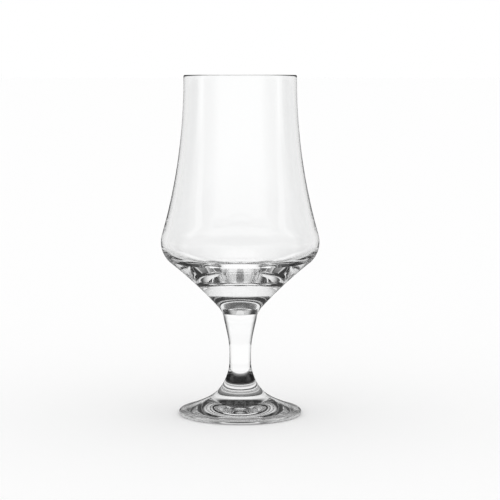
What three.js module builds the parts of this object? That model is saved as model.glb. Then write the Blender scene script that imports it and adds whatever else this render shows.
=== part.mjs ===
// Tulip beer glass: a blown bowl, a solid stem and a pressed foot, joined hot on two flat welds.
// Millimetres, +Z up, origin at the centre of the plane the foot rests on.
import * as THREE from "three";

// Facets round the axis, and points along each curve of a profile.
const TURN_STEPS = 48;
const SWEEP_STEPS = 7;
const NOSE_STEPS = 4;

// Heights of the three pieces, stacked.
const FOOT_HEIGHT = 20;
const STEM_LENGTH = 34;
const BOWL_HEIGHT = 126;

// Bowl, outside.
const LIP_RADIUS = 29.8;
const LIP_BAND = 2;
const BELLY_RADIUS = 42;
const BELLY_RISE = 38;
const SHOULDER_RADIUS = 14.25;
const SHOULDER_TURN = THREE.MathUtils.degToRad(45.7);
const CONE_SWEEP_RADIUS = 228;
const BUTTON_RADIUS = 11.2;
const BUTTON_RISE = 2.8;
const STEM_WELD_RADIUS = 9.4;

// Bowl, inside.
const LIP_WALL = 1.4;
const BELLY_WALL = 2.75;
const INNER_BELLY_LIFT = 0.25;
const INNER_SHOULDER_RADIUS = 9.3;
const FLOOR_RISE = 19.2;
const FLOOR_RADIUS = 18.4;
const FLOOR_ROUND = 10;

// Stem.
const STEM_TAPER = 0.22;
const WAIST_RADIUS = 5.75;
const WAIST_RISE = 9.5;

// Foot.
const FOOT_WELD_RADIUS = 7.3;
const FLARE_TAPER = 0.36;
const FLARE_RADIUS = 22.3;
const FLARE_HEIGHT = 5.7;
const FOOT_RADIUS = 32.6;
const BRIM_HEIGHT = 2.6;
const BRIM_NOSE = 3;
const RING_ROUND = 1;
const RING_WIDTH = 2.6;
const HOLLOW_RISE = 3;

// Share of a curve's length that its end tangents reach along.
const LONG_REACH = 0.6;
const SHORT_REACH = 0.4;

// Heights above the resting plane.
const STEM_WELD_Z = FOOT_HEIGHT + STEM_LENGTH;
const LIP_Z = STEM_WELD_Z + BOWL_HEIGHT;

const at = (r, z) => new THREE.Vector2(r, z);

// Points of an arc about a centre, from one bearing to another.
function arc(centre, radius, from, to, steps) {
  const points = [];
  for (let i = 0; i <= steps; i += 1) {
    const bearing = from + ((to - from) * i) / steps;
    points.push(at(centre.x + radius * Math.cos(bearing), centre.y + radius * Math.sin(bearing)));
  }
  return points;
}

// Points of a quarter of an ellipse about a centre.
function quarter(centre, across, up, from, to) {
  return arc(at(0, 0), 1, from, to, NOSE_STEPS).map((p) => at(centre.x + across * p.x, centre.y + up * p.y));
}

// Points of a cubic curve between two ends and their tangent handles.
function sweep(start, startHandle, endHandle, end) {
  return new THREE.CubicBezierCurve(start, startHandle, endHandle, end).getPoints(SWEEP_STEPS);
}

const bearingOf = (from, to) => Math.atan2(to.y - from.y, to.x - from.x);

// Centre of the large circle that leaves the lip upright and runs into a shoulder circle without a kink.
function wallCircle(lip, shoulder, shoulderRadius) {
  const dr = lip.x - shoulder.x;
  const dz = lip.y - shoulder.y;
  const radius = (dr * dr + dz * dz - shoulderRadius * shoulderRadius) / (2 * (shoulderRadius - dr));
  return { centre: at(lip.x + radius, lip.y), radius };
}

// Wall from the lip down to the shoulder circle, then round that circle to a given bearing.
function wallAndShoulder(lip, shoulder, shoulderRadius, lastBearing) {
  const wall = wallCircle(lip, shoulder, shoulderRadius);
  const meet = bearingOf(shoulder, wall.centre);
  return [
    ...arc(wall.centre, wall.radius, Math.PI, Math.PI + meet, SWEEP_STEPS),
    ...arc(shoulder, shoulderRadius, meet, lastBearing, SWEEP_STEPS).slice(1),
  ];
}

// Centre of the circle outside the cone that passes the crease and the button's edge.
function coneCentre(crease, button) {
  const half = crease.distanceTo(button) / 2;
  const towards = button.clone().sub(crease).normalize();
  const outwards = at(-towards.y, towards.x);
  const aside = Math.sqrt(CONE_SWEEP_RADIUS * CONE_SWEEP_RADIUS - half * half);
  return crease.clone().add(button).divideScalar(2).addScaledVector(outwards, aside);
}

// The shoulder stops at a sharp crease, and the hollow side of the cone starts there.
function bowlOutside() {
  const shoulder = at(BELLY_RADIUS - SHOULDER_RADIUS, STEM_WELD_Z + BELLY_RISE);
  const button = at(BUTTON_RADIUS, STEM_WELD_Z + BUTTON_RISE);
  const lip = at(LIP_RADIUS, LIP_Z - LIP_BAND);
  const side = wallAndShoulder(lip, shoulder, SHOULDER_RADIUS, -SHOULDER_TURN);
  const crease = side[side.length - 1];
  const cone = coneCentre(crease, button);
  return [
    ...side,
    ...arc(cone, CONE_SWEEP_RADIUS, bearingOf(cone, crease), bearingOf(cone, button), SWEEP_STEPS).slice(1),
    at(STEM_WELD_RADIUS, STEM_WELD_Z),
    at(0, STEM_WELD_Z),
  ];
}

// Centre of the circle under the hollow cone that touches the inner shoulder and passes the floor's corner.
function innerConeCentre(shoulder, corner) {
  const far = CONE_SWEEP_RADIUS + INNER_SHOULDER_RADIUS;
  const gap = shoulder.distanceTo(corner);
  const along = (far * far - CONE_SWEEP_RADIUS * CONE_SWEEP_RADIUS + gap * gap) / (2 * gap);
  const aside = Math.sqrt(far * far - along * along);
  const towards = corner.clone().sub(shoulder).divideScalar(gap);
  const outwards = at(-towards.y, towards.x);
  return shoulder.clone().addScaledVector(towards, along).addScaledVector(outwards, aside);
}

// Centre of the round that runs from the inner cone into the flat floor.
function floorRoundCentre(cone, floorZ) {
  const far = CONE_SWEEP_RADIUS + FLOOR_ROUND;
  const z = floorZ + FLOOR_ROUND;
  return at(cone.x - Math.sqrt(far * far - (z - cone.y) * (z - cone.y)), z);
}

// The inside turns at its own shoulder, runs down a cone like the outside and ends on a flat floor.
function bowlInside() {
  const innerBelly = BELLY_RADIUS - BELLY_WALL;
  const shoulder = at(innerBelly - INNER_SHOULDER_RADIUS, STEM_WELD_Z + BELLY_RISE + INNER_BELLY_LIFT);
  const corner = at(FLOOR_RADIUS, STEM_WELD_Z + FLOOR_RISE);
  const cone = innerConeCentre(shoulder, corner);
  const round = floorRoundCentre(cone, corner.y);
  const leave = bearingOf(shoulder, cone);
  const land = bearingOf(round, cone);
  const lip = at(LIP_RADIUS - LIP_WALL, LIP_Z - LIP_BAND);
  return [
    ...wallAndShoulder(lip, shoulder, INNER_SHOULDER_RADIUS, leave),
    ...arc(cone, CONE_SWEEP_RADIUS, leave + Math.PI, land + Math.PI, SWEEP_STEPS).slice(1),
    ...arc(round, FLOOR_ROUND, land, -Math.PI / 2, NOSE_STEPS).slice(1),
    at(0, corner.y),
  ];
}

// The lip is rolled round over the top of the wall.
function lipRoll() {
  const half = LIP_WALL / 2;
  const centre = at(LIP_RADIUS - half, LIP_Z - half);
  return arc(centre, half, Math.PI, 0, NOSE_STEPS);
}

function bowlProfile() {
  return [...bowlInside().reverse(), ...lipRoll(), ...bowlOutside()];
}

function stemProfile() {
  const waist = at(WAIST_RADIUS, FOOT_HEIGHT + WAIST_RISE);
  const above = STEM_WELD_Z - waist.y;
  const top = at(STEM_WELD_RADIUS, STEM_WELD_Z);
  const topHandle = at(top.x - STEM_TAPER * LONG_REACH * above, top.y - LONG_REACH * above);
  const waistUpper = at(waist.x, waist.y + SHORT_REACH * above);
  const waistLower = at(waist.x, waist.y - SHORT_REACH * WAIST_RISE);
  const end = at(FOOT_WELD_RADIUS, FOOT_HEIGHT);
  const endHandle = at(end.x - FLARE_TAPER * SHORT_REACH * WAIST_RISE, end.y + SHORT_REACH * WAIST_RISE);
  return [
    at(0, STEM_WELD_Z),
    ...sweep(top, topHandle, waistUpper, waist),
    ...sweep(waist, waistLower, endHandle, end).slice(1),
    at(0, FOOT_HEIGHT),
  ];
}

function footProfile() {
  const drop = FOOT_HEIGHT - FLARE_HEIGHT;
  const spread = FLARE_RADIUS - FOOT_WELD_RADIUS;
  const brimFall = (FLARE_HEIGHT - BRIM_HEIGHT) / (FOOT_RADIUS - BRIM_NOSE - FLARE_RADIUS);
  const top = at(FOOT_WELD_RADIUS, FOOT_HEIGHT);
  const topHandle = at(top.x + FLARE_TAPER * LONG_REACH * drop, top.y - LONG_REACH * drop);
  const flare = at(FLARE_RADIUS, FLARE_HEIGHT);
  const flareHandle = at(flare.x - SHORT_REACH * spread, flare.y + SHORT_REACH * spread * brimFall);
  const middle = BRIM_HEIGHT / 2;
  const ringOuter = FOOT_RADIUS - RING_ROUND;
  const ringInner = ringOuter - RING_WIDTH;
  const hollowRadius = (ringInner * ringInner + HOLLOW_RISE * HOLLOW_RISE) / (2 * HOLLOW_RISE);
  const hollow = at(0, HOLLOW_RISE - hollowRadius);
  return [
    at(0, FOOT_HEIGHT),
    ...sweep(top, topHandle, flareHandle, flare),
    ...quarter(at(FOOT_RADIUS - BRIM_NOSE, middle), BRIM_NOSE, middle, Math.PI / 2, 0),
    ...quarter(at(ringOuter, middle), RING_ROUND, middle, 0, -Math.PI / 2).slice(1),
    ...arc(hollow, hollowRadius, bearingOf(hollow, at(ringInner, 0)), Math.PI / 2, SWEEP_STEPS),
  ];
}

const clearGlass = () => new THREE.MeshStandardMaterial({
  color: 0xf2f6f6,
  roughness: 0.04,
  metalness: 0,
  transparent: true,
  opacity: 0.45,
});

// Turns a profile, listed from the axis downwards round the outside and back to the axis, into a closed solid.
function turned(name, profile) {
  const rising = profile.map((p) => at(Math.max(p.x, 0), p.y)).reverse();
  const shape = new THREE.LatheGeometry(rising, TURN_STEPS);
  shape.rotateX(Math.PI / 2);
  const piece = new THREE.Mesh(shape, clearGlass());
  piece.name = name;
  return piece;
}

const group = new THREE.Group();
group.name = "tulip_beer_glass";
group.add(turned("bowl", bowlProfile()));
group.add(turned("stem", stemProfile()));
group.add(turned("foot", footProfile()));

export default group;
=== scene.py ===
"""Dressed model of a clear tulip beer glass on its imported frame.

The glass is three turned pieces that were joined hot: a bowl with a thick conical base, a waisted stem and a
flared foot. Each piece is drawn as a line of radius and height in millimetres, turned about the Z axis and
dressed in clear glass. The studio has a pale floor, white panels with soft edges round the glass and a soft
light overhead.
"""

import logging
import math
from dataclasses import dataclass, field
from enum import Enum

import bmesh
import bpy
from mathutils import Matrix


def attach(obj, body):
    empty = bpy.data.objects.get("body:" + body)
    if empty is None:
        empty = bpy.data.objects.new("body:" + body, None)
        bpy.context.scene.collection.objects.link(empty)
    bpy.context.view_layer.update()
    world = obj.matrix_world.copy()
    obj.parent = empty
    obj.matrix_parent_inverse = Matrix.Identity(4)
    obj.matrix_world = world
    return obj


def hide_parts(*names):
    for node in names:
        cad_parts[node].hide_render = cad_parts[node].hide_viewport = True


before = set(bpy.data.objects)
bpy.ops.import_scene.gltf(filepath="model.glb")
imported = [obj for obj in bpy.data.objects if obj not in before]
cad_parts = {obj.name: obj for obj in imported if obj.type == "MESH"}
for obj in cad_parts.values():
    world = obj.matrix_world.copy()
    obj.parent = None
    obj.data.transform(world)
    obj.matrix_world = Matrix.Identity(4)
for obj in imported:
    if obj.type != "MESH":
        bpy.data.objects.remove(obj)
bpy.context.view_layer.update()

LOG = logging.getLogger("tulip_glass")

# Metres in a millimetre, degrees in a radian, and a quarter of a turn in radians.
MM = 0.001
DEGREES = math.degrees(1.0)
QUARTER = math.pi / 2

# Distance in millimetres below which two points of a line are one.
TOUCHING = 1e-6

# Shares of a curve's length that the handles at its ends reach along.
LONG_REACH = 0.6
SHORT_REACH = 0.4

# Bounces that light may take on its way through thick glass.
LIGHT_BOUNCES = 32

Point = tuple[float, float]
Colour = tuple[float, float, float, float]
Socket = bpy.types.NodeSocket
Term = Socket | float
Ring = list[bmesh.types.BMVert]


class Corner(Enum):
    """How the surface passes a point of a profile line."""

    SMOOTH = "smooth"
    CREASE = "crease"


class Side(Enum):
    """Side of a node group that a socket is on, in Blender's own words."""

    IN = "INPUT"
    OUT = "OUTPUT"


class Kind(Enum):
    """Kind of a node group's socket, in Blender's own words."""

    NUMBER = "NodeSocketFloat"
    VECTOR = "NodeSocketVector"


def bearing(start: Point, end: Point) -> float:
    """Direction from one point to another, in radians anticlockwise from the outward direction."""
    return math.atan2(end[1] - start[1], end[0] - start[0])


def beside(start: Point, end: Point, along: float, aside: float) -> Point:
    """Point that lies a way along a straight line and a way aside of it.

    Args:
        start: Where the line starts.
        end: Where it leads.
        along: Distance from the start along the line.
        aside: Distance from the line, to its left.

    Returns:
        The point.
    """
    length = math.dist(start, end)
    across = (end[0] - start[0]) / length
    up = (end[1] - start[1]) / length
    return (start[0] + across * along - up * aside, start[1] + up * along + across * aside)


def add_mesh(title: str, shape: bmesh.types.BMesh) -> bpy.types.Object:
    """Makes an object of a finished shape and puts it into the scene.

    Args:
        title: Name of the object and of its mesh.
        shape: The shape, which is freed.

    Returns:
        The object.
    """
    mesh = bpy.data.meshes.new(title)
    shape.to_mesh(mesh)
    shape.free()
    thing = bpy.data.objects.new(title, mesh)
    bpy.context.scene.collection.objects.link(thing)
    return thing


class ProfileLine:
    """A line of radius and height in millimetres that a piece is turned from."""

    def __init__(self, start: Point) -> None:
        """Starts the line at a point."""
        self.points: list[Point] = [start]
        self.corners: list[Corner] = [Corner.SMOOTH]

    @property
    def last(self) -> Point:
        """The point that the line has reached."""
        return self.points[-1]

    def crease(self) -> None:
        """Marks the point reached as an edge."""
        self.corners[-1] = Corner.CREASE

    def to(self, point: Point) -> None:
        """Goes straight to a point, unless the line is there already.

        Args:
            point: Where the line goes.
        """
        if math.dist(point, self.last) > TOUCHING:
            self.points.append(point)
            self.corners.append(Corner.SMOOTH)

    def straight(self, end: Point, steps: int) -> None:
        """Goes straight to a point in equal steps.

        Args:
            end: Where the line goes.
            steps: Number of steps.
        """
        start = self.last
        for i in range(1, steps + 1):
            share = i / steps
            self.to((start[0] + (end[0] - start[0]) * share, start[1] + (end[1] - start[1]) * share))

    def oval(self, centre: Point, half: Point, start: float, end: float, steps: int) -> None:
        """Follows a part of an ellipse.

        Args:
            centre: Centre of the ellipse.
            half: Half its width and half its height.
            start: Bearing at which the part starts, in radians.
            end: Bearing at which it ends.
            steps: Number of steps.
        """
        for i in range(steps + 1):
            angle = start + (end - start) * i / steps
            self.to((centre[0] + half[0] * math.cos(angle), centre[1] + half[1] * math.sin(angle)))

    def arc(self, centre: Point, radius: float, start: float, end: float, steps: int) -> None:
        """Follows a part of a circle, given as an ellipse is."""
        self.oval(centre, (radius, radius), start, end, steps)

    def sweep(self, first: Point, second: Point, end: Point, steps: int) -> None:
        """Follows a cubic curve from the point reached.

        Args:
            first: Handle of the point reached.
            second: Handle of the end.
            end: Where the curve ends.
            steps: Number of steps.
        """
        handles = (self.last, first, second, end)
        for i in range(1, steps + 1):
            t = i / steps
            weights = ((1 - t) ** 3, 3 * t * (1 - t) ** 2, 3 * t * t * (1 - t), t ** 3)
            self.to((
                sum(weight * handle[0] for weight, handle in zip(weights, handles)),
                sum(weight * handle[1] for weight, handle in zip(weights, handles)),
            ))


class NodeSheet:
    """A node tree with short ways to add nodes and links."""

    def __init__(self, tree: bpy.types.NodeTree) -> None:
        """Takes over a tree and empties it."""
        self.tree = tree
        self.tree.nodes.clear()

    def add(self, kind: str, **values: object) -> bpy.types.Node:
        """Adds a node.

        Args:
            kind: Blender's name of the node type.
            values: Settings of the node by their names.

        Returns:
            The new node.
        """
        node = self.tree.nodes.new(kind)
        for name, value in values.items():
            setattr(node, name, value)
        return node

    def link(self, source: Socket, target: Socket) -> None:
        """Joins an output to an input."""
        self.tree.links.new(source, target)

    def feed(self, target: Socket, value: Term) -> None:
        """Gives an input a link or a plain number.

        Args:
            target: The input.
            value: An output socket or a number.
        """
        if isinstance(value, Socket):
            self.link(value, target)
        else:
            target.default_value = value

    def split(self, vector: Socket) -> bpy.types.NodeOutputs:
        """Takes a vector apart.

        Args:
            vector: Socket of the vector.

        Returns:
            The sockets of its X, Y and Z.
        """
        node = self.add("ShaderNodeSeparateXYZ")
        self.link(vector, node.inputs[0])
        return node.outputs

    def math(self, operation: str, *terms: Term) -> Socket:
        """Adds one step of arithmetic.

        Args:
            operation: Blender's name of the operation.
            terms: One to three sockets or numbers.

        Returns:
            The result's socket.
        """
        node = self.add("ShaderNodeMath", operation=operation)
        for slot, term in zip(node.inputs, terms):
            self.feed(slot, term)
        return node.outputs[0]

    def ramp(self, value: Socket, low: Term, high: Term, start: Term, end: Term) -> Socket:
        """Turns a range of one value softly into a range of another.

        Args:
            value: What is read.
            low: Where the soft step starts.
            high: Where it ends.
            start: Result at and before its start.
            end: Result at and after its end.

        Returns:
            The result's socket.
        """
        node = self.add("ShaderNodeMapRange", interpolation_type="SMOOTHSTEP")
        for slot, term in zip(node.inputs, (value, low, high, start, end)):
            self.feed(slot, term)
        return node.outputs[0]

    def choose(self, switch: Socket, off: Term, on: Term) -> Socket:
        """Takes one of two levels.

        Args:
            switch: Socket that is 0 or 1.
            off: Level at 0.
            on: Level at 1.

        Returns:
            The level's socket.
        """
        node = self.add("ShaderNodeMix", data_type="FLOAT")
        self.link(switch, node.inputs["Factor"])
        self.feed(node.inputs["A"], off)
        self.feed(node.inputs["B"], on)
        return node.outputs["Result"]


class SharedEffect:
    """A shader node group that several materials use, each with its own values."""

    title: str = "effect"

    def __init__(self) -> None:
        """Builds the group once."""
        self.tree = bpy.data.node_groups.new(self.title, "ShaderNodeTree")
        self.sheet = NodeSheet(self.tree)
        self.draw()

    def socket(self, name: str, side: Side, kind: Kind = Kind.NUMBER) -> None:
        """Adds a named socket to the group."""
        self.tree.interface.new_socket(name=name, in_out=side.value, socket_type=kind.value)

    def draw(self) -> None:
        """Draws the nodes inside the group."""
        raise NotImplementedError

    def place(self, sheet: NodeSheet, values: dict[str, float]) -> bpy.types.Node:
        """Puts the group into a material.

        Args:
            sheet: Nodes of the material.
            values: Values of the group's inputs by name.

        Returns:
            The group's node.
        """
        node = sheet.add("ShaderNodeGroup", node_tree=self.tree)
        for name, value in values.items():
            node.inputs[name].default_value = value
        return node


class FormingWaves(SharedEffect):
    """Slow waves that forming and fire polish leave in a glass surface.

    The height along the axis is multiplied by the stretch, so a low stretch draws the waves out.
    """

    title: str = "forming_waves"
    fine_ratio: float = 3.1

    def draw(self) -> None:
        """Adds up a slow and a finer layer of stretched noise as a height."""
        self.socket("Waves Per Metre", Side.IN)
        self.socket("Stretch", Side.IN)
        self.socket("Fine Share", Side.IN)
        self.socket("Height", Side.OUT)
        sheet = self.sheet
        inputs = sheet.add("NodeGroupInput").outputs
        outputs = sheet.add("NodeGroupOutput").inputs
        place = sheet.split(sheet.add("ShaderNodeTexCoord").outputs["Object"])
        drawn = sheet.add("ShaderNodeCombineXYZ")
        sheet.link(place["X"], drawn.inputs["X"])
        sheet.link(place["Y"], drawn.inputs["Y"])
        sheet.link(sheet.math("MULTIPLY", place["Z"], inputs["Stretch"]), drawn.inputs["Z"])
        layers: list[Socket] = []
        for ratio in (1.0, self.fine_ratio):
            noise = sheet.add("ShaderNodeTexNoise", noise_dimensions="3D")
            noise.inputs["Detail"].default_value = 0.0
            sheet.link(drawn.outputs[0], noise.inputs["Vector"])
            sheet.link(sheet.math("MULTIPLY", inputs["Waves Per Metre"], ratio), noise.inputs["Scale"])
            layers.append(noise.outputs["Fac"])
        fine = sheet.math("MULTIPLY", layers[1], inputs["Fine Share"])
        sheet.link(sheet.math("ADD", layers[0], fine), outputs["Height"])


class WashHaze(SharedEffect):
    """Thin haze of washing on a polished surface: cloudy patches and short fine rubbing marks in them."""

    title: str = "wash_haze"
    patch_detail: float = 3.0
    patch_start: float = 0.52
    patch_full: float = 0.78
    mark_ratio: float = 7.0
    mark_squeeze: tuple[float, float, float] = (1.0, 1.0, 9.0)
    mark_start: float = 0.6
    mark_full: float = 0.8
    mark_share: float = 0.5

    def draw(self) -> None:
        """Draws cloudy noise and rubbing marks as a share of haze, and turns it into a roughness."""
        self.socket("Clear Roughness", Side.IN)
        self.socket("Hazy Roughness", Side.IN)
        self.socket("Patches Per Metre", Side.IN)
        self.socket("Roughness", Side.OUT)
        sheet = self.sheet
        inputs = sheet.add("NodeGroupInput").outputs
        outputs = sheet.add("NodeGroupOutput").inputs
        place = sheet.add("ShaderNodeTexCoord").outputs["Object"]
        clouds = sheet.add("ShaderNodeTexNoise", noise_dimensions="3D")
        clouds.inputs["Detail"].default_value = self.patch_detail
        sheet.link(place, clouds.inputs["Vector"])
        sheet.link(inputs["Patches Per Metre"], clouds.inputs["Scale"])
        patches = sheet.ramp(clouds.outputs["Fac"], self.patch_start, self.patch_full, 0.0, 1.0)
        squeeze = sheet.add("ShaderNodeMapping")
        squeeze.inputs["Scale"].default_value = self.mark_squeeze
        sheet.link(place, squeeze.inputs["Vector"])
        marks = sheet.add("ShaderNodeTexNoise", noise_dimensions="3D")
        sheet.link(squeeze.outputs[0], marks.inputs["Vector"])
        fineness = sheet.math("MULTIPLY", inputs["Patches Per Metre"], self.mark_ratio)
        sheet.link(fineness, marks.inputs["Scale"])
        rubbed = sheet.ramp(marks.outputs["Fac"], self.mark_start, self.mark_full, 0.0, self.mark_share)
        haze = sheet.math("MINIMUM", sheet.math("MULTIPLY_ADD", rubbed, patches, patches), 1.0)
        span = sheet.math("SUBTRACT", inputs["Hazy Roughness"], inputs["Clear Roughness"])
        sheet.link(sheet.math("MULTIPLY_ADD", haze, span, inputs["Clear Roughness"]), outputs["Roughness"])


class PanelMasks(SharedEffect):
    """Masks of the studio's white panels: a wide pair in front and behind, a narrow pair at the sides."""

    title: str = "panel_masks"
    quarter_turn: float = 90.0

    def draw(self) -> None:
        """Folds the bearing about the axis onto one quarter and compares it with the panels' half widths."""
        self.socket("Direction", Side.IN, Kind.VECTOR)
        for name in ("Wide", "Narrow"):
            self.socket(f"{name} Half", Side.IN)
            self.socket(f"{name} Soft", Side.IN)
            self.socket(name, Side.OUT)
        sheet = self.sheet
        inputs = sheet.add("NodeGroupInput").outputs
        outputs = sheet.add("NodeGroupOutput").inputs
        direction = sheet.split(inputs["Direction"])
        across = sheet.math("ABSOLUTE", direction["X"])
        deep = sheet.math("ABSOLUTE", direction["Y"])
        off = sheet.math("MULTIPLY", sheet.math("ARCTAN2", across, deep), DEGREES)
        for name, turned in (("Wide", off), ("Narrow", sheet.math("SUBTRACT", self.quarter_turn, off))):
            near = sheet.math("SUBTRACT", inputs[f"{name} Half"], inputs[f"{name} Soft"])
            far = sheet.math("ADD", inputs[f"{name} Half"], inputs[f"{name} Soft"])
            sheet.link(sheet.ramp(turned, near, far, 1.0, 0.0), outputs[name])


@dataclass(frozen=True)
class Effects:
    """The shared effects that the finishes and the studio draw on."""

    waves: FormingWaves
    haze: WashHaze
    panels: PanelMasks


@dataclass(frozen=True)
class ClearGlass:
    """Clear polished soda glass, as one of the three pieces shows it. Lengths are in metres."""

    title: str
    tint: Colour = (0.995, 0.997, 0.997, 1.0)
    ior: float = 1.52
    waves_per_metre: float = 40.0
    stretch: float = 0.25
    fine_share: float = 0.3
    wave_depth: float = 0.00002
    clear_roughness: float = 0.0
    hazy_roughness: float = 0.012
    patches_per_metre: float = 60.0

    def material(self, effects: Effects) -> bpy.types.Material:
        """Makes the material.

        Args:
            effects: The shared effects.

        Returns:
            A glass material with slow waves and a trace of haze.
        """
        made = bpy.data.materials.new(self.title)
        made.use_nodes = True
        sheet = NodeSheet(made.node_tree)
        output = sheet.add("ShaderNodeOutputMaterial")
        shader = sheet.add("ShaderNodeBsdfPrincipled")
        shader.inputs["Base Color"].default_value = self.tint
        shader.inputs["Metallic"].default_value = 0.0
        shader.inputs["Transmission Weight"].default_value = 1.0
        shader.inputs["IOR"].default_value = self.ior
        haze = effects.haze.place(sheet, {
            "Clear Roughness": self.clear_roughness,
            "Hazy Roughness": self.hazy_roughness,
            "Patches Per Metre": self.patches_per_metre,
        })
        sheet.link(haze.outputs["Roughness"], shader.inputs["Roughness"])
        waves = effects.waves.place(sheet, {
            "Waves Per Metre": self.waves_per_metre,
            "Stretch": self.stretch,
            "Fine Share": self.fine_share,
        })
        bump = sheet.add("ShaderNodeBump")
        bump.inputs["Strength"].default_value = 1.0
        bump.inputs["Distance"].default_value = self.wave_depth
        sheet.link(waves.outputs["Height"], bump.inputs["Height"])
        sheet.link(bump.outputs["Normal"], shader.inputs["Normal"])
        sheet.link(shader.outputs[0], output.inputs["Surface"])
        return made


BLOWN_GLASS = ClearGlass("bowl_clear_glass")
DRAWN_GLASS = ClearGlass("stem_clear_glass", waves_per_metre=60.0, stretch=0.12)
PRESSED_GLASS = ClearGlass("foot_clear_glass", waves_per_metre=50.0, stretch=1.0, fine_share=0.15)


@dataclass(frozen=True)
class Stack:
    """Heights of the stacked pieces and sizes at the two welds, in millimetres, that the pieces share.

    The taper is the loss of radius for each millimetre of height at the foot's weld.
    """

    foot_height: float = 20.0
    stem_length: float = 34.0
    bowl_height: float = 126.0
    foot_weld_radius: float = 7.3
    foot_weld_taper: float = 0.36
    stem_weld_radius: float = 9.4

    @property
    def foot_weld(self) -> Point:
        """Edge of the weld between foot and stem."""
        return (self.foot_weld_radius, self.foot_height)

    @property
    def stem_weld(self) -> Point:
        """Edge of the weld between stem and bowl."""
        return (self.stem_weld_radius, self.foot_height + self.stem_length)

    @property
    def lip(self) -> float:
        """Height of the lip above the resting plane."""
        return self.foot_height + self.stem_length + self.bowl_height


@dataclass
class TurnedPiece:
    """A piece of glass turned about the Z axis."""

    stack: Stack
    title: str = "piece"
    node: str = "piece"
    slot: str = "piece_glass"
    segments: int = 256
    thing: bpy.types.Object | None = field(default=None, init=False)

    def profile(self) -> ProfileLine:
        """Draws the line that the piece is turned from."""
        raise NotImplementedError

    def build(self) -> bpy.types.Object:
        """Turns the profile into a mesh.

        Returns:
            The new object, in metres, with its creases marked.
        """
        line = self.profile()
        shape = bmesh.new()
        rings = [self.ring(shape, point) for point in line.points]
        for upper, lower in zip(rings[:-1], rings[1:]):
            self.strip(shape, upper, lower)
        for face in shape.faces:
            face.smooth = True
        for ring, corner in zip(rings, line.corners):
            if corner is Corner.CREASE:
                for start, end in zip(ring, ring[1:] + ring[:1]):
                    shape.edges.get((start, end)).smooth = False
        self.thing = add_mesh(self.title, shape)
        return self.thing

    def ring(self, shape: bmesh.types.BMesh, point: Point) -> Ring:
        """Turns one point of the line.

        Args:
            shape: The mesh that is being made.
            point: Radius and height in millimetres.

        Returns:
            The corners round the axis, or a single one on it.
        """
        radius = point[0] * MM
        height = point[1] * MM
        if point[0] < TOUCHING:
            return [shape.verts.new((0.0, 0.0, height))]
        turn = 2 * math.pi / self.segments
        return [
            shape.verts.new((radius * math.cos(turn * i), radius * math.sin(turn * i), height))
            for i in range(self.segments)
        ]

    def strip(self, shape: bmesh.types.BMesh, upper: Ring, lower: Ring) -> None:
        """Joins two rings of the turned line by a strip of faces that look out of the glass.

        Args:
            shape: The mesh that is being made.
            upper: First ring, or a single corner on the axis.
            lower: Second ring, or a single corner on the axis.
        """
        for i in range(self.segments):
            j = (i + 1) % self.segments
            if len(upper) == 1:
                shape.faces.new((upper[0], lower[i], lower[j]))
            elif len(lower) == 1:
                shape.faces.new((upper[i], lower[0], upper[j]))
            else:
                shape.faces.new((upper[i], lower[i], lower[j], upper[j]))

    def dress(self, finish: ClearGlass, effects: Effects) -> None:
        """Gives the piece its glass and sets it into the frame.

        Args:
            finish: The glass of this piece.
            effects: The shared effects.
        """
        self.thing.data.materials.append(finish.material(effects))
        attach(self.thing, "root")
        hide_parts(self.node)


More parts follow.
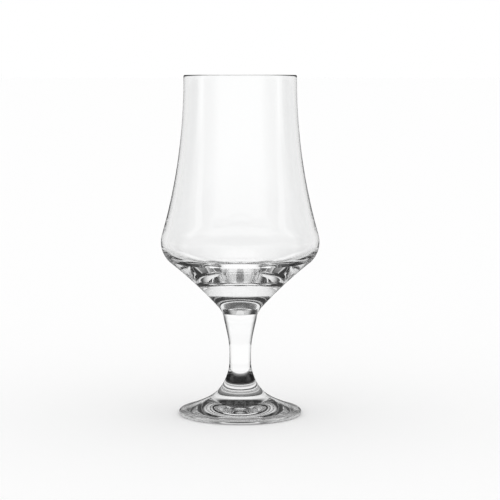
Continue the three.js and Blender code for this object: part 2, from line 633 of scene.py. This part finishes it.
@dataclass
class Bowl(TurnedPiece):
    """Blown bowl with a thick conical base, hollow to a flat floor and open at the weld below."""

    title: str = "glass_bowl"
    node: str = "bowl"
    slot: str = "bowl_glass"
    lip_radius: float = 29.8
    lip_band: float = 2.0
    lip_wall: float = 1.4
    belly_radius: float = 42.0
    belly_rise: float = 38.0
    belly_wall: float = 2.75
    shoulder_radius: float = 14.25
    shoulder_turn: float = math.radians(45.7)
    cone_sweep: float = 228.0
    button_radius: float = 11.2
    button_rise: float = 2.8
    inner_lift: float = 0.25
    inner_shoulder: float = 9.3
    floor_rise: float = 19.2
    floor_radius: float = 18.4
    floor_round: float = 10.0
    lip_steps: int = 16
    wall_steps: int = 56
    shoulder_steps: int = 44
    cone_steps: int = 48
    inner_cone_steps: int = 40
    round_steps: int = 16
    floor_steps: int = 12

    def above_weld(self, rise: float) -> float:
        """Height above the resting plane of what lies a rise above the weld."""
        return self.stack.stem_weld[1] + rise

    def wall(self, line: ProfileLine, shoulder: Point, radius: float, last: float) -> None:
        """Draws a wall that leaves the lip upright and runs without a kink into a shoulder circle.

        Args:
            line: The line that is drawn on, which has reached the lip.
            shoulder: Centre of the shoulder circle.
            radius: Radius of the shoulder circle.
            last: Bearing at which the shoulder stops.
        """
        lip = line.last
        across = lip[0] - shoulder[0]
        up = lip[1] - shoulder[1]
        large = (across ** 2 + up ** 2 - radius ** 2) / (2 * (radius - across))
        centre = (lip[0] + large, lip[1])
        meet = bearing(shoulder, centre)
        line.arc(centre, large, math.pi, math.pi + meet, self.wall_steps)
        line.arc(shoulder, radius, meet, last, self.shoulder_steps)

    def inner_cone(self, shoulder: Point, corner: Point) -> Point:
        """Centre of the circle that touches the inner shoulder and passes the floor's corner.

        Args:
            shoulder: Centre of the inner shoulder circle.
            corner: Corner that the cone and the floor would have without the round between them.

        Returns:
            The centre.
        """
        far = self.cone_sweep + self.inner_shoulder
        gap = math.dist(shoulder, corner)
        along = (far ** 2 - self.cone_sweep ** 2 + gap ** 2) / (2 * gap)
        return beside(shoulder, corner, along, math.sqrt(far ** 2 - along ** 2))

    def inside(self) -> ProfileLine:
        """Draws the inside from the lip down its shoulder and its cone to the middle of the flat floor.

        Returns:
            The line.
        """
        belly = self.above_weld(self.belly_rise) + self.inner_lift
        floor = self.above_weld(self.floor_rise)
        shoulder = (self.belly_radius - self.belly_wall - self.inner_shoulder, belly)
        cone = self.inner_cone(shoulder, (self.floor_radius, floor))
        far = self.cone_sweep + self.floor_round
        rise = floor + self.floor_round
        turn = (cone[0] - math.sqrt(far ** 2 - (rise - cone[1]) ** 2), rise)
        leave = bearing(shoulder, cone)
        land = bearing(turn, cone)
        line = ProfileLine((self.lip_radius - self.lip_wall, self.stack.lip - self.lip_band))
        self.wall(line, shoulder, self.inner_shoulder, leave)
        line.arc(cone, self.cone_sweep, leave + math.pi, land + math.pi, self.inner_cone_steps)
        line.arc(turn, self.floor_round, land, -QUARTER, self.round_steps)
        line.straight((0.0, floor), self.floor_steps)
        return line

    def outside(self, line: ProfileLine) -> None:
        """Draws the outside from the lip over the belly, the crease and the hollow cone down to the weld.

        Args:
            line: The line that is drawn on.
        """
        shoulder = (self.belly_radius - self.shoulder_radius, self.above_weld(self.belly_rise))
        line.to((self.lip_radius, self.stack.lip - self.lip_band))
        self.wall(line, shoulder, self.shoulder_radius, -self.shoulder_turn)
        line.crease()
        crease = line.last
        button = (self.button_radius, self.above_weld(self.button_rise))
        half = math.dist(crease, button) / 2
        cone = beside(crease, button, half, math.sqrt(self.cone_sweep ** 2 - half ** 2))
        line.arc(cone, self.cone_sweep, bearing(cone, crease), bearing(cone, button), self.cone_steps)
        line.crease()
        line.to(self.stack.stem_weld)

    def profile(self) -> ProfileLine:
        """Draws the floor, the inside, the rolled lip and the outside down to the weld.

        Returns:
            The line, from the middle of the floor to the weld.
        """
        inside = self.inside()
        line = ProfileLine(inside.last)
        for point in reversed(inside.points[:-1]):
            line.to(point)
        half = self.lip_wall / 2
        line.arc((self.lip_radius - half, self.stack.lip - half), half, math.pi, 0.0, self.lip_steps)
        self.outside(line)
        return line


@dataclass
class Stem(TurnedPiece):
    """Solid waisted stem, open at both welds."""

    title: str = "glass_stem"
    node: str = "stem"
    slot: str = "stem_glass"
    top_taper: float = 0.22
    waist_radius: float = 5.75
    waist_rise: float = 9.5
    upper_steps: int = 44
    lower_steps: int = 24

    def profile(self) -> ProfileLine:
        """Draws the side of the stem from the upper weld over the waist to the lower weld.

        Returns:
            The line.
        """
        top = self.stack.stem_weld
        end = self.stack.foot_weld
        waist = (self.waist_radius, end[1] + self.waist_rise)
        upper = top[1] - waist[1]
        long_way = LONG_REACH * upper
        short_way = SHORT_REACH * self.waist_rise
        line = ProfileLine(top)
        line.sweep(
            (top[0] - self.top_taper * long_way, top[1] - long_way),
            (waist[0], waist[1] + SHORT_REACH * upper),
            waist,
            self.upper_steps,
        )
        line.sweep(
            (waist[0], waist[1] - short_way),
            (end[0] - self.stack.foot_weld_taper * short_way, end[1] + short_way),
            end,
            self.lower_steps,
        )
        return line


@dataclass
class Foot(TurnedPiece):
    """Flared foot, hollow under its middle, open at the weld above."""

    title: str = "glass_foot"
    node: str = "foot"
    slot: str = "foot_glass"
    flare_radius: float = 22.3
    flare_height: float = 5.7
    foot_radius: float = 32.6
    brim_height: float = 2.6
    brim_nose: float = 3.0
    ring_round: float = 1.0
    ring_width: float = 2.6
    hollow_rise: float = 3.0
    flare_steps: int = 56
    brim_steps: int = 8
    nose_steps: int = 16
    edge_steps: int = 12
    hollow_steps: int = 44

    def profile(self) -> ProfileLine:
        """Draws the flare, the brim, the resting ring and the hollow underneath.

        Returns:
            The line, from the weld to the middle of the hollow.
        """
        weld = self.stack.foot_weld
        flare = (self.flare_radius, self.flare_height)
        nose = (self.foot_radius - self.brim_nose, self.brim_height)
        fall = (flare[1] - nose[1]) / (nose[0] - flare[0])
        long_way = LONG_REACH * (weld[1] - flare[1])
        short_way = SHORT_REACH * (flare[0] - weld[0])
        line = ProfileLine(weld)
        line.sweep(
            (weld[0] + self.stack.foot_weld_taper * long_way, weld[1] - long_way),
            (flare[0] - short_way, flare[1] + short_way * fall),
            flare,
            self.flare_steps,
        )
        line.straight(nose, self.brim_steps)
        middle = self.brim_height / 2
        outer = self.foot_radius - self.ring_round
        inner = outer - self.ring_width
        line.oval((nose[0], middle), (self.brim_nose, middle), QUARTER, 0.0, self.nose_steps)
        line.oval((outer, middle), (self.ring_round, middle), 0.0, -QUARTER, self.edge_steps)
        bend = (inner ** 2 + self.hollow_rise ** 2) / (2 * self.hollow_rise)
        under = (0.0, self.hollow_rise - bend)
        line.arc(under, bend, bearing(under, (inner, 0.0)), QUARTER, self.hollow_steps)
        return line


@dataclass(frozen=True)
class Camera:
    """The camera at the photograph's place: low, in front, looking a little down.

    Distances are in metres, the tilt is in radians, the sensor in millimetres and the rest in pixels of the
    photograph.
    """

    distance: float = 0.930
    height: float = 0.184
    tilt: float = math.radians(5.92)
    near: float = 0.01
    sensor: float = 36.0
    frame_pixels: float = 500.0
    focal_pixels: float = 1762.0
    shift_pixels: float = 9.8

    def build(self) -> bpy.types.Object:
        """Makes the camera and hands it to the scene.

        Returns:
            The camera.
        """
        data = bpy.data.cameras.new("photo_camera")
        data.sensor_width = self.sensor
        data.lens = self.sensor * (self.focal_pixels / self.frame_pixels)
        data.shift_x = self.shift_pixels / self.frame_pixels
        data.clip_start = self.near
        thing = bpy.data.objects.new("photo_camera", data)
        thing.location = (0.0, -self.distance, self.height)
        thing.rotation_euler = (QUARTER - self.tilt, 0.0, 0.0)
        bpy.context.scene.collection.objects.link(thing)
        bpy.context.scene.camera = thing
        return thing


@dataclass(frozen=True)
class Panels:
    """White panels round the glass, and the light that polished surfaces mirror of them.

    Half widths and soft edges are in degrees about the axis. Mirrored light fades with the depth of the
    direction that it comes from, which is -1 in front of the glass and 1 behind it.
    """

    white_level: float = 1.0
    wide_half: float = 54.0
    wide_soft: float = 18.0
    narrow_half: float = 7.0
    mirror_start: float = -0.2
    mirror_end: float = 0.3
    mirror_back: float = 0.12

    def masks(self, sheet: NodeSheet, effects: Effects, place: Socket, narrow_soft: float) -> bpy.types.Node:
        """Puts the masks of the panels into a material or the world.

        Args:
            sheet: Nodes of the material or the world.
            effects: The shared effects.
            place: Socket of the place or direction that is looked at.
            narrow_soft: Soft edge of the narrow panels.

        Returns:
            The node that puts out the masks.
        """
        node = effects.panels.place(sheet, {
            "Wide Half": self.wide_half,
            "Wide Soft": self.wide_soft,
            "Narrow Half": self.narrow_half,
            "Narrow Soft": narrow_soft,
        })
        sheet.link(place, node.inputs["Direction"])
        return node

    def mirrored(self, sheet: NodeSheet, depth: Socket) -> Socket:
        """Level of mirrored light at a depth."""
        return sheet.ramp(depth, self.mirror_start, self.mirror_end, self.white_level, self.mirror_back)


@dataclass(frozen=True)
class Floor:
    """Wide pale floor that the glass stands on, in metres.

    The camera sees it matt, with the shadow of the glass. Seen through the glass it glows with painted
    light: painted panel light, white before a panel and grey between two of them, and a painted shadow under
    the foot that is darkest under its middle. Mirrored by the glass it glows with a painted reflection of
    the panels.
    """

    panels: Panels
    reach: float = 30.0
    drop: float = 0.0002
    shade: Colour = (0.99, 0.99, 0.99, 1.0)
    narrow_soft: float = 3.0
    # Painted panel light on the floor as the glass sees it, between the panels: grey near the foot, lighter
    # further out.
    gap_level: float = 0.3
    near_reach: float = 0.12
    far_level: float = 0.6
    far_reach: float = 0.3
    # Painted shadow under the foot as the glass sees it: its level under the middle and at the foot's edge.
    painted_middle_shadow: float = 0.0
    middle_radius: float = 0.015
    painted_foot_shadow: float = 0.5
    under_radius: float = 0.034
    under_soft: float = 0.002

    def build(self, effects: Effects) -> bpy.types.Object:
        """Makes the floor just under the resting plane.

        Args:
            effects: The shared effects.

        Returns:
            The floor.
        """
        shape = bmesh.new()
        corners = [(-1, -1), (1, -1), (1, 1), (-1, 1)]
        shape.faces.new([shape.verts.new((x * self.reach, y * self.reach, 0.0)) for x, y in corners])
        thing = add_mesh("studio_floor", shape)
        thing.location = (0.0, 0.0, -self.drop)
        thing.data.materials.append(self.material(effects))
        return thing

    def seen(self, sheet: NodeSheet, effects: Effects, place: Socket, away: Socket) -> Socket:
        """Works out the painted light and painted shadow that the floor glows with where it is seen through
        the glass.

        Args:
            sheet: Nodes of the floor's material.
            effects: The shared effects.
            place: Socket of the place on the floor.
            away: Socket of its distance from the axis.

        Returns:
            The socket of the level.
        """
        masks = self.panels.masks(sheet, effects, place, self.narrow_soft)
        white = sheet.math("MAXIMUM", masks.outputs["Wide"], masks.outputs["Narrow"])
        gap = sheet.ramp(away, self.near_reach, self.far_reach, self.gap_level, self.far_level)
        # Painted panel light: white before a panel, grey between two of them.
        painted_panel_light = sheet.ramp(white, 0.0, 1.0, gap, self.panels.white_level)
        # Painted shadow under the foot, darkest under its middle.
        painted_shadow = sheet.ramp(away, self.middle_radius, self.under_radius, self.painted_middle_shadow, self.painted_foot_shadow)
        start = self.under_radius - self.under_soft
        end = self.under_radius + self.under_soft
        return sheet.ramp(away, start, end, painted_shadow, painted_panel_light)

    def material(self, effects: Effects) -> bpy.types.Material:
        """Makes the floor's material.

        Args:
            effects: The shared effects.

        Returns:
            A matt material that glows with painted light, painted shadow and a painted reflection for what
            the glass shows of it.
        """
        made = bpy.data.materials.new("studio_floor")
        made.use_nodes = True
        sheet = NodeSheet(made.node_tree)
        output = sheet.add("ShaderNodeOutputMaterial")
        matt = sheet.add("ShaderNodeBsdfDiffuse")
        matt.inputs["Color"].default_value = self.shade
        place = sheet.add("ShaderNodeTexCoord").outputs["Object"]
        reach = sheet.add("ShaderNodeVectorMath", operation="LENGTH")
        sheet.link(place, reach.inputs[0])
        away = reach.outputs["Value"]
        seen = self.seen(sheet, effects, place, away)
        # Painted reflection of the panels, which the floor glows with for mirrored rays.
        mirrored = self.panels.mirrored(sheet, sheet.math("DIVIDE", sheet.split(place)["Y"], away))
        path = sheet.add("ShaderNodeLightPath").outputs
        # The floor glows with painted light for rays that pass through or are mirrored by the glass.
        painted_glow = sheet.add("ShaderNodeEmission")
        sheet.link(sheet.choose(path["Is Transmission Ray"], mirrored, seen), painted_glow.inputs["Color"])
        both = sheet.add("ShaderNodeMixShader")
        sheet.link(sheet.math("MAXIMUM", path["Is Transmission Ray"], path["Is Glossy Ray"]), both.inputs[0])
        sheet.link(matt.outputs[0], both.inputs[1])
        sheet.link(painted_glow.outputs[0], both.inputs[2])
        sheet.link(both.outputs[0], output.inputs["Surface"])
        return made


@dataclass(frozen=True)
class Studio:
    """Round studio, with heights in degrees above the horizon.

    The camera and matt surfaces see it plain white. Seen through the glass it is a wide pair and a narrow
    pair of white panels that fade upwards, dark gaps between and above them, and a soft light overhead.
    Mirrored by the glass it is white in front and low, and darker behind and above.
    """

    panels: Panels
    narrow_soft: float = 2.0
    wide_full: float = 8.0
    wide_end: float = 22.0
    narrow_full: float = 2.0
    narrow_end: float = 6.0
    gap_level: float = 0.04
    top_start: float = 58.0
    top_full: float = 75.0
    top_level: float = 0.8
    mirror_full: float = 18.0
    mirror_dark: float = 36.0
    mirror_above: float = 0.2

    def seen(self, sheet: NodeSheet, effects: Effects, place: Socket, rise: Socket) -> Socket:
        """Works out how bright the studio looks through the glass.

        Args:
            sheet: Nodes of the world.
            effects: The shared effects.
            place: Socket of the direction that is looked in.
            rise: Socket of its height in degrees.

        Returns:
            The socket of the level.
        """
        masks = self.panels.masks(sheet, effects, place, self.narrow_soft)
        white = self.panels.white_level
        wide_fade = sheet.ramp(rise, self.wide_full, self.wide_end, white, 0.0)
        narrow_fade = sheet.ramp(rise, self.narrow_full, self.narrow_end, white, 0.0)
        wide = sheet.math("MULTIPLY", masks.outputs["Wide"], wide_fade)
        narrow = sheet.math("MULTIPLY", masks.outputs["Narrow"], narrow_fade)
        above = sheet.ramp(rise, self.top_start, self.top_full, self.gap_level, self.top_level)
        return sheet.math("MAXIMUM", sheet.math("MAXIMUM", wide, narrow), above)

    def build(self, effects: Effects) -> None:
        """Makes the world.

        Args:
            effects: The shared effects.
        """
        world = bpy.data.worlds.new("studio")
        bpy.context.scene.world = world
        world.use_nodes = True
        sheet = NodeSheet(world.node_tree)
        output = sheet.add("ShaderNodeOutputWorld")
        place = sheet.add("ShaderNodeTexCoord").outputs["Generated"]
        direction = sheet.split(place)
        rise = sheet.math("MULTIPLY", sheet.math("ARCSINE", direction["Z"]), DEGREES)
        seen = self.seen(sheet, effects, place, rise)
        fade = sheet.ramp(rise, self.mirror_full, self.mirror_dark, 1.0, self.mirror_above)
        mirrored = sheet.math("MULTIPLY", self.panels.mirrored(sheet, direction["Y"]), fade)
        path = sheet.add("ShaderNodeLightPath").outputs
        # Light that has passed through glass counts as glossy too, so the choice for it comes last.
        outside = sheet.choose(path["Is Glossy Ray"], self.panels.white_level, mirrored)
        light = sheet.add("ShaderNodeBackground")
        sheet.link(sheet.choose(path["Is Transmission Ray"], outside, seen), light.inputs["Color"])
        sheet.link(light.outputs[0], output.inputs["Surface"])


def set_render() -> None:
    """Sets plain colour handling, and enough bounces for light to find its way through thick glass."""
    scene = bpy.context.scene
    scene.view_settings.view_transform = "Standard"
    scene.cycles.max_bounces = LIGHT_BOUNCES
    scene.cycles.transmission_bounces = LIGHT_BOUNCES
    scene.cycles.glossy_bounces = LIGHT_BOUNCES
    scene.cycles.transparent_max_bounces = LIGHT_BOUNCES


def main() -> None:
    """Builds the glass piece by piece and the studio round it."""
    logging.basicConfig(level=logging.INFO, format="%(name)s: %(message)s")
    stack = Stack()
    panels = Panels()
    effects = Effects(FormingWaves(), WashHaze(), PanelMasks())
    dressed: list[tuple[TurnedPiece, ClearGlass]] = [
        (Bowl(stack), BLOWN_GLASS),
        (Stem(stack), DRAWN_GLASS),
        (Foot(stack), PRESSED_GLASS),
    ]
    for piece, finish in dressed:
        thing = piece.build()
        piece.dress(finish, effects)
        LOG.info("%s: %d faces in %s", thing.name, len(thing.data.polygons), finish.title)
    Floor(panels).build(effects)
    Studio(panels).build(effects)
    Camera().build()
    set_render()


if __name__ == "__main__":
    main()
